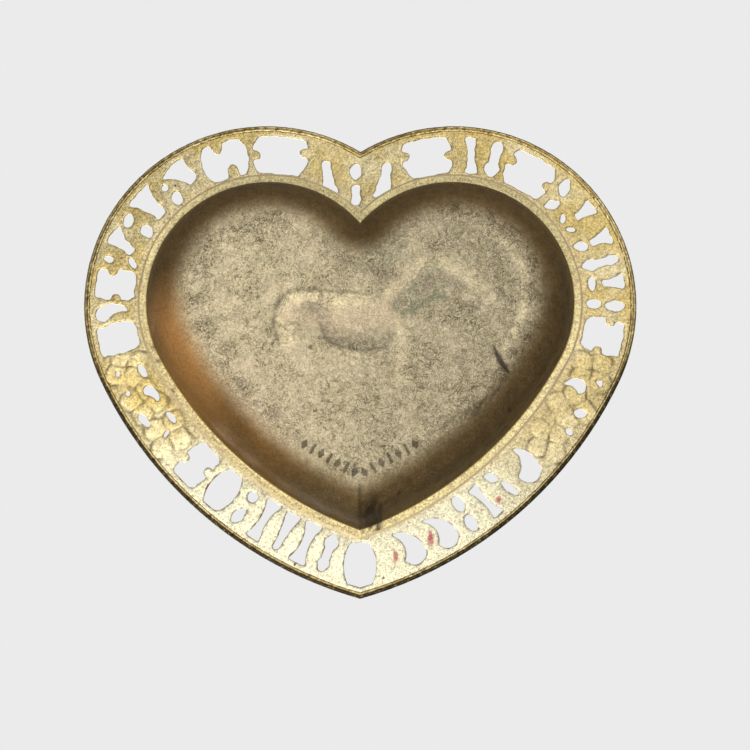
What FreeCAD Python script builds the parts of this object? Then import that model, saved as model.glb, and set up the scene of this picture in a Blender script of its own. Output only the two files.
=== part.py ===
import FreeCAD, Part
import math
import os

# Heart-shaped trinket dish: a drawn pan soldered behind a pierced rim with a beaded edge.
# Millimetres, opening up (+Z), lobes towards +Y, tip towards -Y, pan standing on z = 0.

# Outlines: half a heart is a lobe arc running tangent into a longer side arc.
rim_lobe_x, rim_lobe_radius = 19.9, 38.2
rim_join_angle, rim_side_radius = -26.0, 86.2
pan_lobe_x, pan_lobe_radius = 19.3, 25.5
pan_join_angle, pan_side_radius = -28.8, 77.8

# Pan
pan_sheet = 0.45
pan_depth = 11.9                 # floor underside to the back of the rim plate
wall_draft = 14.0                # degrees from upright
wall_foot_radius = 9.0
flange_width = 1.4

# Rim
plate = 0.8
plate_inner = 15.0               # far enough in to reach the pan everywhere
seat_start = 9.6                 # flat from here inwards, where the flange lies
rim_slope = 8.0                  # degrees, rising outwards
bead_diameter = 1.6
bead_facets = 16                 # arcs that its round section is drawn with
plate_into_bead = 0.5
outer_border = 2.3               # unpierced border, measured from the outer edge
inner_border = 1.9               # unpierced border, measured from the pan

# Solder seam along the edge of the flange
seam_width, seam_height = 0.5, 0.4

# Enamel skin on the front of the lower run
enamel = 0.12
enamel_start = 121.0             # distance from the cleft along the outer edge
enamel_outer, enamel_inner = 1.9, 9.5

# Punched row in the underside of the floor: two legs meeting near the tip
punch_depth = 0.15
punch_count = 7                  # in each leg
punch_turn = 28.0                # degrees, the slope of each leg
punch_far, punch_near = (11.2, -19.4), (1.0, -25.0)

V = FreeCAD.Vector
UP = V(0, 0, 1)
ACROSS = V(1, 0, 0)
HALF = Part.makeBox(200, 400, 200, V(0, -200, -100))


def polar(centre, radius, degrees):
    a = math.radians(degrees)
    return centre + V(radius * math.cos(a), radius * math.sin(a), 0)


def both_halves(shape):
    return shape.fuse(shape.mirror(V(0, 0, 0), ACROSS)).removeSplitter()


class Heart:
    def __init__(self, lobe_x, lobe_y, lobe_radius, join_angle, side_radius):
        self.lobe, self.lobe_radius = V(lobe_x, lobe_y, 0), lobe_radius
        self.join, self.side_radius = join_angle, side_radius
        self.side = polar(self.lobe, lobe_radius - side_radius, join_angle)
        self.cleft_angle = math.degrees(math.acos(-lobe_x / lobe_radius))
        self.cleft = polar(self.lobe, lobe_radius, self.cleft_angle)
        self.lobe_length = lobe_radius * math.radians(self.cleft_angle - join_angle)

    def tip(self, inset=0.0):
        return self.side.y - math.sqrt((self.side_radius - inset) ** 2 - self.side.x ** 2)

    def half_wire(self, inset):
        """Open wire of the x >= 0 half at a distance inside the outline (negative is outside)."""
        lobe_r, side_r = self.lobe_radius - inset, self.side_radius - inset
        low = math.degrees(-math.acos(-self.side.x / side_r))
        if inset > 0:
            high = self.cleft_angle
            nose = polar(self.cleft, inset, -90)
            start = polar(self.lobe, lobe_r, high)
            middle = polar(self.cleft, inset, (high - 180 - 90) / 2)
            edges = [Part.Arc(nose, middle, start).toShape()]
        else:
            high = math.degrees(math.acos(-self.lobe.x / lobe_r))
            edges = []
        for centre, r, a, b in ((self.lobe, lobe_r, high, self.join),
                                (self.side, side_r, self.join, low)):
            ends = [polar(centre, r, angle) for angle in (a, (a + b) / 2, b)]
            edges.append(Part.Arc(*ends).toShape())
        return Part.Wire(edges)

    def prism(self, inset, bottom, height):
        half = self.half_wire(inset)
        other = half.mirror(V(0, 0, 0), ACROSS)
        loop = Part.Wire(Part.__sortEdges__(half.Edges + other.Edges))
        solid = Part.Face(loop).extrude(V(0, 0, height))
        solid.translate(V(0, 0, bottom))
        return solid

    def sweep(self, section, round_cleft=False):
        """Run a section, drawn as (inset, z) edges, round the whole outline."""
        pieces = []
        lobe_end = self.cleft_angle if round_cleft else self.join + 180
        turns = [(self.lobe, self.lobe_radius, self.join, lobe_end, -1),
                 (self.side, self.side_radius, -80, self.join, -1)]
        if round_cleft:
            turns.append((self.cleft, 0, -90, self.cleft_angle - 180, 1))
        for centre, r, start, end, sense in turns:
            face = Part.Face(section(lambda w, z: V(r + sense * w, 0, z)))
            face.rotate(V(0, 0, 0), UP, start)
            face.translate(centre)
            pieces.append(face.revolve(centre, UP, end - start))
        half = pieces[0].fuse(pieces[1:]).common(HALF)
        return both_halves(half)

    def spot(self, side, along, inset):
        """Point a distance along the outline from the cleft, and the inward direction in degrees."""
        if along < self.lobe_length:
            angle = self.cleft_angle - math.degrees(along / self.lobe_radius)
            point = polar(self.lobe, self.lobe_radius - inset, angle)
        else:
            past = (along - self.lobe_length) / self.side_radius
            angle = self.join - math.degrees(past)
            point = polar(self.side, self.side_radius - inset, angle)
        if side < 0:
            point.x, angle = -point.x, 180 - angle
        return point, angle + 180


tip_height = Heart(rim_lobe_x, 0, rim_lobe_radius, rim_join_angle, rim_side_radius).tip()
rim_lobe_y = -(rim_lobe_radius + tip_height) / 2       # centres the outline on y = 0
outer = Heart(rim_lobe_x, rim_lobe_y, rim_lobe_radius, rim_join_angle, rim_side_radius)
bowl = Heart(pan_lobe_x, rim_lobe_y, pan_lobe_radius, pan_join_angle, pan_side_radius)


def polygon(points):
    def section(at):
        return Part.makePolygon([at(*p) for p in points + points[:1]])
    return section


# Pan wall: outer and inner arcs share a centre, so the sheet keeps its thickness.
draft = math.radians(wall_draft)
flange_back = pan_depth - pan_sheet
rise = flange_back - wall_foot_radius * (1 - math.sin(draft))
floor_inset = wall_foot_radius * math.cos(draft) + rise * math.tan(draft)


def foot_points(radius, top):
    """Rim end, tangent point, arc middle and floor end of one face of the wall."""
    tangent_w = floor_inset - radius * math.cos(draft)
    tangent_z = wall_foot_radius - radius * math.sin(draft)
    half_way = (draft + math.pi / 2) / 2
    middle = (floor_inset - radius * math.cos(half_way), wall_foot_radius - radius * math.sin(half_way))
    rim_end = (tangent_w - (top - tangent_z) * math.tan(draft), top)
    return rim_end, (tangent_w, tangent_z), middle, (floor_inset, wall_foot_radius - radius)


def wall_section(at):
    a, b, c, d = [at(*p) for p in foot_points(wall_foot_radius, flange_back)]
    e, f, g, h = [at(*p) for p in foot_points(wall_foot_radius - pan_sheet, pan_depth)]
    corner = at(0, pan_depth)
    return Part.Wire([Part.makeLine(a, b), Part.Arc(b, c, d).toShape(), Part.makeLine(d, h),
                      Part.Arc(h, g, f).toShape(), Part.makeLine(f, e), Part.makeLine(e, corner),
                      Part.makeLine(corner, a)])


wall = bowl.sweep(wall_section, round_cleft=True)
floor = bowl.prism(floor_inset, 0, pan_sheet)
flange = bowl.prism(-flange_width, flange_back, pan_sheet).cut(bowl.prism(0, 0, pan_depth + 1))
pan = wall.fuse([floor, flange]).removeSplitter()

# Punched row: bars and lozenges by turns
for leg in (-1, 1):
    for i in range(punch_count):
        t = i / (punch_count - 1)
        x = leg * (punch_far[0] + (punch_near[0] - punch_far[0]) * t)
        y = punch_far[1] + (punch_near[1] - punch_far[1]) * t
        side, tall = (0.45, 2.1) if i % 2 else (0.6, 2.0)
        points = [V(-side, 0, 0), V(0, -tall / 2, 0), V(side, 0, 0), V(0, tall / 2, 0)]
        if i % 2:
            points = [V(s * side / 2, u * tall / 2, 0) for s, u in ((-1, -1), (1, -1), (1, 1), (-1, 1))]
        punch = Part.Face(Part.makePolygon(points + points[:1])).extrude(V(0, 0, 1 + punch_depth))
        punch.rotate(V(0, 0, 0), UP, leg * punch_turn)
        punch.translate(V(x, y, -1))
        pan = pan.cut(punch)

# Rim plate before piercing
lift = (seat_start - plate_into_bead) * math.tan(math.radians(rim_slope))
edge_z = pan_depth + lift
plate_corners = [(plate_inner, pan_depth), (seat_start, pan_depth), (plate_into_bead, edge_z),
                 (plate_into_bead, edge_z + plate), (seat_start, pan_depth + plate),
                 (plate_inner, pan_depth + plate)]
rim = outer.sweep(polygon(plate_corners)).cut(bowl.prism(0, 0, 40))


# Piercings. Each is drawn with u along the edge and v inwards, centred on the origin.
def flat(points):
    """Closed face through corners; a three-item entry is an arc through its middle point."""
    edges = []
    for a, b in zip(points, points[1:] + points[:1]):
        start, end = V(a[0], a[1], 0), V(b[0], b[1], 0)
        if len(a) == 3:
            edges.append(Part.Arc(start, V(a[2][0], a[2][1], 0), end).toShape())
        else:
            edges.append(Part.makeLine(start, end))
    return Part.Face(Part.Wire(edges))


def disc(x, y, r):
    return Part.Face(Part.Wire(Part.makeCircle(r, V(x, y, 0))))


def joined(face, others):
    return face.fuse(others).removeSplitter()


def round_hole(w, h):
    return disc(0, 0, w / 2)


def tapered(w, h, outer_w, inner_w, bow):
    """Four corners with both long sides bowed out (positive) or in (negative)."""
    a, b, mid = outer_w / 2, inner_w / 2, (outer_w + inner_w) / 4 + bow
    return flat([(-a, -h / 2), (a, -h / 2, (mid, 0)), (b, h / 2), (-b, h / 2, (-mid, 0))])


def field(w, h):
    """Gap between two waisted posts, with a small ear cut into each foot."""
    shape = tapered(w, h, w * 0.7, w * 0.7, w * 0.15)
    ears = [disc(s * w * 0.33, u * h * 0.36, h * 0.1) for s in (-1, 1) for u in (-1, 1)]
    return joined(shape, ears)


def knobbed(w, h):
    """Field with a round knob standing in from each post."""
    shape = field(w, h)
    knobs = [disc(s * w * 0.43, u * h * 0.08, h * 0.12) for s, u in ((-1, 1), (1, -1))]
    return shape.cut(knobs)


def cusped(w, h):
    """Field with a pointed tooth standing in from each border."""
    teeth = []
    for s in (-1, 1):
        tooth = leaf(w * 0.26, h * 0.5)
        tooth.translate(V(s * w * 0.1, s * h * 0.4, 0))
        teeth.append(tooth)
    return field(w, h).cut(teeth)


def bell(w, h):
    return tapered(w, h, w, w * 0.35, -w * 0.1)


def waist(w, h):
    return tapered(w, h, w, w, -w * 0.28)


def barrel(w, h):
    return tapered(w, h, w * 0.55, w * 0.55, w * 0.22)


def slot(w, h):
    reach = h / 2 - w / 2
    return flat([(-w / 2, -reach, (0, -h / 2)), (w / 2, -reach),
                 (w / 2, reach, (0, h / 2)), (-w / 2, reach)])


def keyhole(w, h):
    return joined(slot(w * 0.6, h), [disc(0, -h * 0.28, w * 0.42), disc(0, h * 0.27, w * 0.5)])


def bottle(w, h):
    body = tapered(w, h * 0.6, w * 0.5, w, -w * 0.05)
    body.translate(V(0, h * 0.2, 0))
    return joined(slot(w * 0.42, h), [body])


def leaf(w, h):
    return flat([(0, -h / 2, (w / 2, 0)), (0, h / 2, (-w / 2, 0))])


def comma(w, h):
    """Round head at the outer end, curling to a point at the inner end."""
    r, head, point = w / 2, w / 2 - h / 2, (-w * 0.4, h / 2)
    return flat([(-r, head, (0, -h / 2)), (r, head, (w * 0.4, h * 0.12)), point + ((-w * 0.14, h * 0.06),)])


def cusp(w, h):
    """Three-sided gap with hollow sides, left where round leaves meet."""
    return flat([(-w / 2, -h / 2, (0, -h * 0.32)), (w / 2, -h / 2, (w * 0.14, 0)),
                 (0, h / 2, (-w * 0.14, 0))])


def place(face, side, along, inset, turn=0):
    point, inward = outer.spot(side, along, inset)
    if side < 0:
        face = face.mirror(V(0, 0, 0), ACROSS)
        turn = -turn
    face.rotate(V(0, 0, 0), UP, inward - 90 + turn)
    face.translate(point)
    return face.extrude(V(0, 0, 40))


# kind, distance from the cleft, inset, width along, height across, turn
upper_run_near = [
    (knobbed, 14.0, 6.2, 10.8, 8.8, 0), (waist, 25.2, 6.2, 3.0, 8.4, 6), (keyhole, 31.2, 6.2, 3.2, 8.2, 0),
    (knobbed, 40.8, 6.2, 10.6, 8.8, 0), (leaf, 49.9, 4.3, 2.3, 4.4, 24), (leaf, 50.7, 8.8, 1.9, 3.8, -32),
    (bell, 57.4, 4.6, 4.2, 4.6, 0), (leaf, 55.6, 9.2, 0.9, 3.4, 34), (leaf, 59.4, 9.3, 0.9, 3.2, -34),
    (bell, 65.0, 4.6, 4.2, 4.6, 0), (leaf, 64.8, 9.1, 2.1, 3.2, -25), (keyhole, 70.6, 6.4, 2.6, 8.0, 0),
    (bell, 76.0, 4.7, 3.8, 4.6, 0), (leaf, 75.7, 9.2, 1.6, 3.6, 90), (leaf, 81.7, 4.6, 2.3, 4.4, 0),
    (leaf, 81.4, 9.1, 2.1, 3.4, 0), (knobbed, 89.6, 6.2, 7.8, 8.8, 0)]
upper_run_far = [
    (knobbed, 17.4, 6.2, 12.0, 8.8, 0), (cusped, 31.6, 6.2, 10.0, 8.8, 0), (bell, 42.6, 5.2, 7.4, 6.0, -24),
    (leaf, 47.7, 9.1, 2.2, 3.4, 20), (round_hole, 48.4, 5.6, 1.5, 0, 0), (bell, 54.0, 5.9, 6.8, 7.4, 0),
    (leaf, 60.2, 4.3, 2.2, 3.2, 74), (leaf, 60.2, 8.9, 2.4, 3.2, 18), (bell, 65.8, 5.3, 5.0, 6.2, 20),
    (leaf, 70.5, 3.8, 1.3, 2.6, 0), (leaf, 69.9, 9.0, 1.2, 3.0, 40), (knobbed, 76.4, 6.2, 6.8, 8.8, 0),
    (comma, 83.2, 6.2, 3.4, 7.4, -12), (field, 90.2, 6.2, 6.6, 8.8, 0)]
spray_near = [
    (cusp, 100.4, 3.9, 3.4, 2.6, 0), (comma, 103.6, 8.0, 3.0, 5.0, 12), (leaf, 108.4, 4.0, 2.0, 2.8, 28),
    (leaf, 98.9, 8.6, 0.5, 2.8, 60), (leaf, 107.6, 8.9, 0.5, 2.4, -20), (leaf, 110.8, 6.6, 0.5, 2.8, 40),
    (leaf, 113.2, 3.8, 1.1, 2.2, -12), (leaf, 116.6, 7.8, 0.5, 2.6, 70), (leaf, 118.4, 4.4, 0.5, 2.4, 10)]
spray_far = [
    (cusp, 98.4, 4.2, 2.2, 2.0, 0), (leaf, 100.4, 8.8, 1.5, 3.6, 86), (cusp, 103.4, 4.2, 2.2, 2.4, 10),
    (comma, 106.4, 8.3, 2.4, 4.6, 74), (leaf, 110.2, 3.9, 1.6, 3.8, 84), (leaf, 113.2, 8.9, 1.2, 3.6, 84),
    (leaf, 106.9, 5.4, 0.45, 2.4, -35), (leaf, 115.6, 6.0, 0.9, 2.6, -18), (leaf, 118.4, 3.8, 0.45, 2.0, 20)]
lower_run_near = [
    (comma, 124.8, 6.6, 5.0, 8.4, -20), (leaf, 131.2, 5.2, 1.6, 5.0, 12), (leaf, 132.8, 9.3, 1.8, 3.4, 34),
    (waist, 137.2, 6.4, 2.8, 7.8, 8), (leaf, 142.6, 4.5, 2.5, 4.0, 0), (leaf, 142.6, 9.2, 2.3, 3.8, 0),
    (comma, 149.2, 6.6, 4.8, 8.4, 16), (comma, 157.2, 6.8, 5.0, 8.6, 16)]
lower_run_far = [
    (knobbed, 125.4, 6.6, 6.6, 8.8, 0), (barrel, 133.6, 6.6, 6.0, 8.8, 0), (leaf, 139.8, 4.5, 2.3, 4.2, 10),
    (round_hole, 140.0, 9.3, 2.2, 0, 0), (waist, 145.0, 6.6, 3.6, 8.8, 0), (bottle, 150.4, 6.8, 3.4, 8.2, 0),
    (waist, 155.8, 6.8, 4.0, 8.8, 0), (keyhole, 161.2, 6.8, 2.9, 8.0, 0)]
near_side = upper_run_near + spray_near + lower_run_near
far_side = upper_run_far + spray_far + lower_run_far

# Piercings about the centre line: kind, x, y, width, height, turn
centre_line = [
    (bottle, -5.2, 38.0, 4.6, 8.0, 188), (leaf, 1.0, 40.0, 2.4, 3.6, 0), (slot, 0.9, 34.8, 1.8, 4.6, 0),
    (bottle, 6.8, 38.2, 4.4, 8.4, 172), (barrel, 0, -43.4, 6.8, 9.6, 0)]

piercings = []
for side, run in ((-1, near_side), (1, far_side)):
    for kind, along, inset, width, height, turn in run:
        piercings.append(place(kind(width, height), side, along, inset, turn))
for kind, x, y, width, height, turn in centre_line:
    face = kind(width, height)
    face.rotate(V(0, 0, 0), UP, turn)
    face.translate(V(x, y, 0))
    piercings.append(face.extrude(V(0, 0, 40)))
pierceable = outer.prism(outer_border, 0, 40).cut(bowl.prism(-inner_border, 0, 40))
piercings = [p.common(pierceable) for p in piercings]
rim = rim.cut(piercings)

# Beaded edge with a slot that takes the plate
bead_r = bead_diameter / 2
bead_z = edge_z + plate / 2


def bead_section(at):
    def spot(step):
        a = 2 * math.pi * step / bead_facets
        return at(bead_r + bead_r * math.cos(a), bead_z + bead_r * math.sin(a))
    arcs = [Part.Arc(spot(i), spot(i + 0.5), spot(i + 1)).toShape() for i in range(bead_facets)]
    return Part.Wire(arcs)


solid_plate = outer.sweep(polygon(plate_corners))
bead = outer.sweep(bead_section).cut(solid_plate)

# Solder fillet in the corner between flange edge and plate
start = -flange_width
seam_corners = [(start, pan_depth), (start - seam_width, pan_depth), (start, pan_depth - seam_height)]
seam = bowl.sweep(polygon(seam_corners))

# Enamel skin on the lower run, open where the plate is pierced
tan_slope = math.tan(math.radians(rim_slope))
skin_edges = [(enamel_inner, 0), (enamel_outer, 0), (enamel_outer, enamel), (enamel_inner, enamel)]
skin_corners = [(w, pan_depth + plate + (seat_start - w) * tan_slope + up) for w, up in skin_edges]
limit, _ = outer.spot(1, enamel_start, 0)
below = Part.makeBox(200, 200, 80, V(-100, limit.y - 200, 0))
skin = outer.sweep(polygon(skin_corners)).common(below).cut(piercings)

nodes = {"pan": pan, "pierced_rim": rim, "edge_bead": bead, "solder_seam": seam, "red_enamel": skin}
for name, shape in nodes.items():
    shape = shape.Solids[0] if len(shape.Solids) == 1 else shape
    box = shape.optimalBoundingBox()
    print(name, "solids", len(shape.Solids), "valid", shape.isValid(), "volume", round(shape.Volume, 1),
          "z", round(box.ZMin, 2), round(box.ZMax, 2), "y", round(box.YMin, 2), round(box.YMax, 2))
    shape.exportStep("parts/" + name + ".step")
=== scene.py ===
import math

import bpy
import numpy as np
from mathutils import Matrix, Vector


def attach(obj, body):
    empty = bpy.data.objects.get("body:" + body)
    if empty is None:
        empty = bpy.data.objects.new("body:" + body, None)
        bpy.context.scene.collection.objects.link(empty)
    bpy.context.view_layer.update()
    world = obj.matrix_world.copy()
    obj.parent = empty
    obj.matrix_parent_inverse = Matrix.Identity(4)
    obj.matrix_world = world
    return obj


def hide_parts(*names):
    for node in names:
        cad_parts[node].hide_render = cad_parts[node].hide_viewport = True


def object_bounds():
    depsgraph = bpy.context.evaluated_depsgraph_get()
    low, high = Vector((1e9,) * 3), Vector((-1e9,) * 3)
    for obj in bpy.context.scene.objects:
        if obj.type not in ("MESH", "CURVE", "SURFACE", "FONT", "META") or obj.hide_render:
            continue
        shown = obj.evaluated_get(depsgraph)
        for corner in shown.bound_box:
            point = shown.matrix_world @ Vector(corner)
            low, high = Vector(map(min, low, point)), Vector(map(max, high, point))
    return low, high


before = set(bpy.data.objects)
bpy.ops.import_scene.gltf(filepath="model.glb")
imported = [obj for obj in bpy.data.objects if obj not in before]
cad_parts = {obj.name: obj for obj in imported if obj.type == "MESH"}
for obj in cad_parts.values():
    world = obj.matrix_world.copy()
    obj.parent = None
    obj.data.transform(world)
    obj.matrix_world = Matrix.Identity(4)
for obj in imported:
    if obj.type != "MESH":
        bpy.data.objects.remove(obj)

cadLow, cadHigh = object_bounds()
mm = 0.001
print("frame loaded:", sorted(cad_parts))


# ---- camera: under the dish, looking up at its back, lobes at the top of the picture
cameraSettings = {"tilt": 8.0, "distance": 0.46, "lens": 105.5, "aimX": -3.1, "aimY": -3.4}


def addCamera(s):
    tilt = math.radians(s["tilt"])
    rimHeight = cadHigh.z - 1 * mm
    bpy.ops.object.camera_add()
    camera = bpy.context.object
    camera.name = "underCamera"
    camera.data.lens, camera.data.clip_start, camera.data.clip_end = s["lens"], 0.01, 20
    camera.location = (s["aimX"] * mm, s["aimY"] * mm - math.sin(tilt) * s["distance"],
                       rimHeight - math.cos(tilt) * s["distance"])
    camera.rotation_euler = (math.pi + tilt, 0, math.pi)
    bpy.context.scene.camera = camera


addCamera(cameraSettings)


# ---- light: one large soft source on the tip side under the dish, a weak fill, one above
lightSettings = {
    "underKey": {"at": (0.16, -0.42, -0.55), "size": 0.55, "power": 4.2, "color": (1.0, 0.97, 0.9)},
    "underFill": {"at": (-0.25, 0.35, -0.6), "size": 0.5, "power": 1.8, "color": (1.0, 0.98, 0.94)},
    "topSoft": {"at": (0.25, -0.3, 0.7), "size": 0.7, "power": 7.0, "color": (1.0, 0.98, 0.95)},
}
worldSettings = {"seen": 0.83, "lit": 0.30}


def addLights(table):
    for name, s in table.items():
        bpy.ops.object.light_add(type="AREA", location=s["at"])
        lamp = bpy.context.object
        lamp.name = name
        lamp.data.size, lamp.data.energy, lamp.data.color = s["size"], s["power"], s["color"]
        lamp.rotation_euler = (-Vector(s["at"])).to_track_quat("-Z", "Y").to_euler()


def addWorld(s):
    world = bpy.data.worlds.new("softWorld")
    bpy.context.scene.world = world
    world.use_nodes = True
    nodes, links = world.node_tree.nodes, world.node_tree.links
    background = nodes["Background"]
    path = nodes.new("ShaderNodeLightPath")
    level = nodes.new("ShaderNodeMapRange")
    level.inputs["To Min"].default_value = s["lit"]
    level.inputs["To Max"].default_value = s["seen"]
    links.new(path.outputs["Is Camera Ray"], level.inputs["Value"])
    links.new(level.outputs["Result"], background.inputs["Color"])


addLights(lightSettings)
addWorld(worldSettings)
bpy.context.scene.view_settings.view_transform = "Standard"
print("camera and light set")


# ---- shapes shared by the pieces: the heart outline as a lobe arc and a side arc
rimShape = {"lobeX": 19.9, "lobeRadius": 38.2, "joinAngle": -26.0, "sideRadius": 86.2}
panShape = {"lobeX": 19.3, "lobeRadius": 25.5, "joinAngle": -28.8, "sideRadius": 77.8}


def heart(s, lobeY):
    # centres and radii of one side's two arcs, the angles where they meet, and the cleft between the lobes
    join = math.radians(s["joinAngle"])
    reach = s["lobeRadius"] - s["sideRadius"]
    cleftAngle = math.acos(-s["lobeX"] / s["lobeRadius"])
    return {"lobe": (s["lobeX"], lobeY), "lobeR": s["lobeRadius"], "join": join, "sideR": s["sideRadius"],
            "side": (s["lobeX"] + reach * math.cos(join), lobeY + reach * math.sin(join)),
            "cleftAngle": cleftAngle, "cleft": (0.0, lobeY + s["lobeRadius"] * math.sin(cleftAngle)),
            "lobeLength": s["lobeRadius"] * (cleftAngle - join)}


rimLobeY = cadHigh.y / mm - rimShape["lobeRadius"]
rimHeart = heart(rimShape, rimLobeY)
panHeart = heart(panShape, rimLobeY)


def arcPoints(centre, radius, first, last, count):
    a = np.linspace(first, last, count)
    return np.stack([centre[0] + radius * np.cos(a), centre[1] + radius * np.sin(a)], 1)


def heartRing(h, inset, counts):
    # from the cleft down one side to the tip, then mirrored back up the other side
    noseCount, lobeCount, sideCount = counts
    high = h["cleftAngle"] if inset > 0 else math.acos(-h["lobe"][0] / (h["lobeR"] - inset))
    low = -math.acos(-h["side"][0] / (h["sideR"] - inset))
    if inset > 0:
        nose = arcPoints(h["cleft"], inset, -math.pi / 2, h["cleftAngle"] - math.pi, noseCount + 1)[:-1]
    else:
        nose = arcPoints(h["lobe"], h["lobeR"] - inset, high, high, noseCount)
    lobe = arcPoints(h["lobe"], h["lobeR"] - inset, high, h["join"], lobeCount + 1)[:-1]
    side = arcPoints(h["side"], h["sideR"] - inset, h["join"], low, sideCount + 1)
    half = np.concatenate([nose, lobe, side])
    other = half[::-1][1:] * [-1, 1]
    return np.concatenate([half, other])


def alongAndInset(h, x, y):
    # distance from the cleft along the outline, and distance in from it, for any points
    turnsOver = -2.6     # angles past this lie across the centre line and count on from half a turn
    ax = np.abs(x)
    angle = np.arctan2(y - h["lobe"][1], ax - h["lobe"][0])
    angle = np.where(angle < turnsOver, angle + 2 * math.pi, angle)
    sideAngle = np.arctan2(y - h["side"][1], ax - h["side"][0])
    onLobe = angle > h["join"]
    lobeAlong = h["lobeR"] * (h["cleftAngle"] - angle)
    sideAlong = h["lobeLength"] + h["sideR"] * (h["join"] - sideAngle)
    lobeInset = h["lobeR"] - np.hypot(ax - h["lobe"][0], y - h["lobe"][1])
    lobeInset = np.where(angle > h["cleftAngle"], np.hypot(ax, y - h["cleft"][1]), lobeInset)
    sideInset = h["sideR"] - np.hypot(ax - h["side"][0], y - h["side"][1])
    return np.where(onLobe, lobeAlong, sideAlong), np.where(onLobe, lobeInset, sideInset)


def smoothStep(low, high, value):
    t = np.clip((value - low) / (high - low), 0, 1)
    return t * t * (3 - 2 * t)


def waves(x, y, size, seed):
    # soft, even unevenness made of a few turned ripples, about 0 with a swing of 1
    ripples, swing = 9, 3.2
    rng = np.random.default_rng(seed)
    total = np.zeros_like(x)
    for _ in range(ripples):
        turn, phase = rng.uniform(0, 2 * math.pi, 2)
        stretch = rng.uniform(0.6, 1.5) * 2 * math.pi / size
        total += np.sin((x * math.cos(turn) + y * math.sin(turn)) * stretch + phase)
    return total / swing


def getPoints(mesh):
    flat = np.empty(len(mesh.vertices) * 3)
    mesh.vertices.foreach_get("co", flat)
    return flat.reshape(-1, 3) / mm


def setPoints(mesh, points):
    mesh.vertices.foreach_set("co", (points * mm).ravel())
    mesh.update()


def setMask(mesh, name, values):
    # one value a vertex, read by the materials under this name
    mesh.attributes.new(name, "FLOAT", "POINT").data.foreach_set("value", values.astype(np.float32))


def selectOnly(obj):
    bpy.ops.object.select_all(action="DESELECT")
    bpy.context.view_layer.objects.active = obj
    obj.select_set(True)


def inEditMode(obj, *steps):
    # runs each step in edit mode with everything selected
    selectOnly(obj)
    bpy.ops.object.mode_set(mode="EDIT")
    bpy.ops.mesh.select_all(action="SELECT")
    for step in steps:
        step()
    bpy.ops.object.mode_set(mode="OBJECT")


def applyModifier(obj, kind, **values):
    selectOnly(obj)
    modifier = obj.modifiers.new(kind.title(), kind)
    for key, value in values.items():
        setattr(modifier, key, value)
    bpy.ops.object.modifier_apply(modifier=modifier.name)


def mergeClose(distance):
    return lambda: bpy.ops.mesh.remove_doubles(threshold=distance * mm)


def normalsOut():
    bpy.ops.mesh.normals_make_consistent(inside=False)


def copyOfNode(node, name, weld=0.002):
    # a copy of the CAD solid's mesh, welded into one skin
    piece = bpy.data.objects.new(name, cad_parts[node].data.copy())
    bpy.context.scene.collection.objects.link(piece)
    piece.data.materials.clear()
    inEditMode(piece, mergeClose(weld))
    return piece


def settle(piece, node, material):
    piece.data.materials.clear()
    piece.data.materials.append(material)
    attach(piece, "root")
    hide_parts(node)


# ---- shading helpers
class Tree:
    # short way to add and join nodes in one material or group
    def __init__(self, tree):
        self.tree = tree

    def add(self, kind, inputs=None, **settings):
        node = self.tree.nodes.new(kind)
        for key, value in settings.items():
            setattr(node, key, value)
        for key, value in (inputs or {}).items():
            self.put(value, node.inputs[key])
        return node

    def put(self, value, socket):
        if isinstance(value, bpy.types.NodeSocket):
            self.tree.links.new(value, socket)
        else:
            socket.default_value = value

    def math(self, operation, *values):
        node = self.add("ShaderNodeMath", operation=operation)
        for value, socket in zip(values, node.inputs):
            self.put(value, socket)
        return node.outputs[0]

    def ramp(self, value, low, high, toLow=0.0, toHigh=1.0):
        node = self.add("ShaderNodeMapRange", {"Value": value, "From Min": low, "From Max": high,
                                               "To Min": toLow, "To Max": toHigh},
                        interpolation_type="SMOOTHSTEP")
        return node.outputs["Result"]

    def mix(self, share, first, second, blend="MIX"):
        node = self.add("ShaderNodeMix", data_type="RGBA", blend_type=blend)
        for value, index in ((share, 0), (first, 6), (second, 7)):
            self.put(value, node.inputs[index])
        return node.outputs[2]

    def times(self, color, factor):
        return self.mix(1.0, color, factor, "MULTIPLY")

    def mask(self, name):
        return self.add("ShaderNodeAttribute", attribute_name=name).outputs["Fac"]

    def noise(self, where, scale, detail=4.0, rough=0.6, distortion=0.0):
        node = self.add("ShaderNodeTexNoise", {"Vector": where, "Scale": scale, "Detail": detail,
                                               "Roughness": rough, "Distortion": distortion})
        return node.outputs["Fac"]

    def product(self, first, second):
        return self.math("MULTIPLY", first, second)

    def near(self, where, centre, radius):
        # 1 inside a ball round a point in millimetres, fading to 0 outside
        spot = tuple(v * mm for v in centre)
        gap = self.add("ShaderNodeVectorMath", {0: where, 1: spot}, operation="DISTANCE").outputs["Value"]
        return self.ramp(gap, radius * mm * 1.3, radius * mm * 0.6)


def newGroup(name, inputs, outputs):
    group = bpy.data.node_groups.new(name, "ShaderNodeTree")
    for direction, sockets in (("INPUT", inputs), ("OUTPUT", outputs)):
        for label, (kind, value) in sockets.items():
            socket = group.interface.new_socket(label, in_out=direction, socket_type=kind)
            if value is not None:
                socket.default_value = value
    t = Tree(group)
    return group, t, t.add("NodeGroupInput").outputs, t.add("NodeGroupOutput").inputs


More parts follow.
